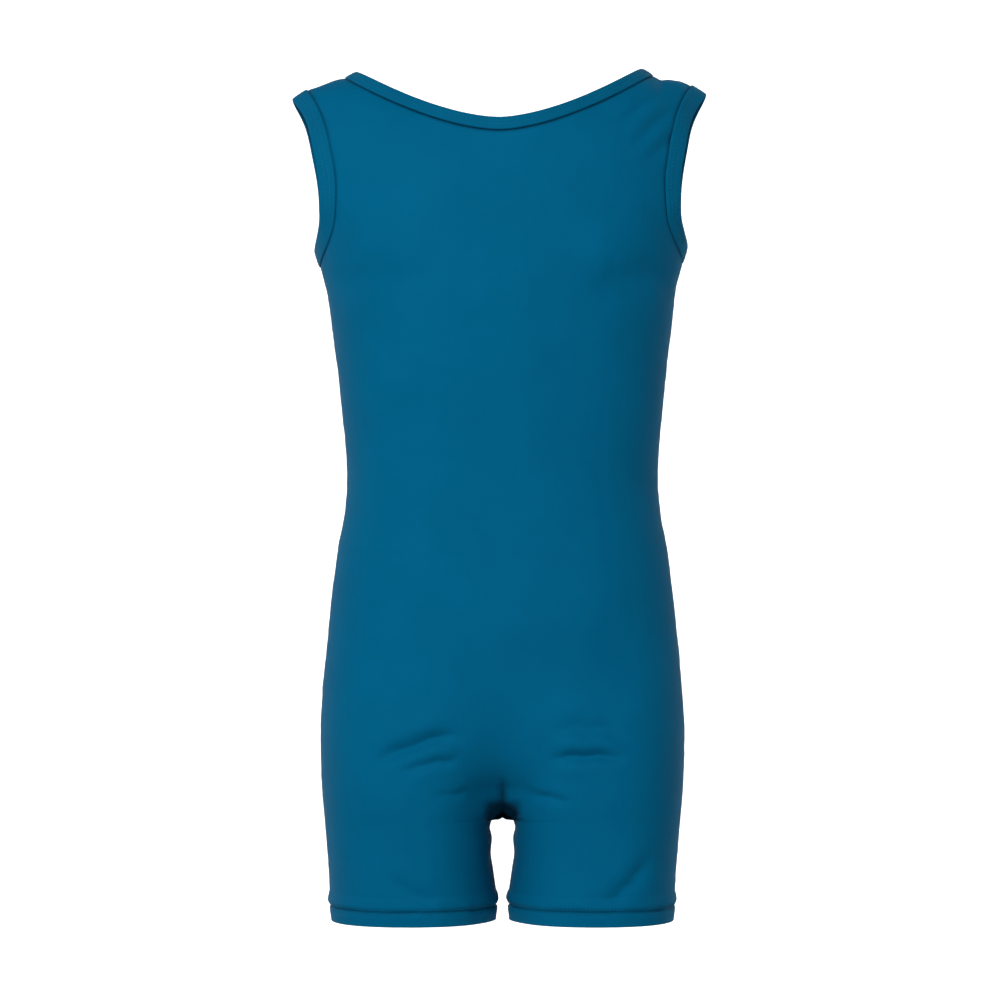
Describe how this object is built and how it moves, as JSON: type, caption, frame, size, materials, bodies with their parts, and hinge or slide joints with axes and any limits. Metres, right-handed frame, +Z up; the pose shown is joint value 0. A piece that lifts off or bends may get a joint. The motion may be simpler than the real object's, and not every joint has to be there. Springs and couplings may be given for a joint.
{
  "type": "dance unitard",
  "caption": "Sleeveless short-legged dance unitard in stretch cloth, filled out as worn, open at neck, armholes and both legs.",
  "frame": {"origin": "midway between the two shoulder tops, where the wearer holds the garment up", "axes": "+Z up, the front faces -Y, the wearer's left is +X"},
  "size_m": [0.309, 0.1955, 0.6454],
  "materials": {
    "front_cloth": "smooth matt stretch knit with a faint sheen",
    "back_cloth": "smooth matt stretch knit with a faint sheen",
    "neck_band": "folded stretch binding, stitched",
    "left_armhole_band": "folded stretch binding, stitched",
    "right_armhole_band": "folded stretch binding, stitched"
  },
  "bodies": {
    "root": {"front_panel": "front_cloth", "back_panel": "back_cloth", "neck_binding": "neck_band", "armhole_binding_left": "left_armhole_band", "armhole_binding_right": "right_armhole_band"}
  },
  "joints": []
}
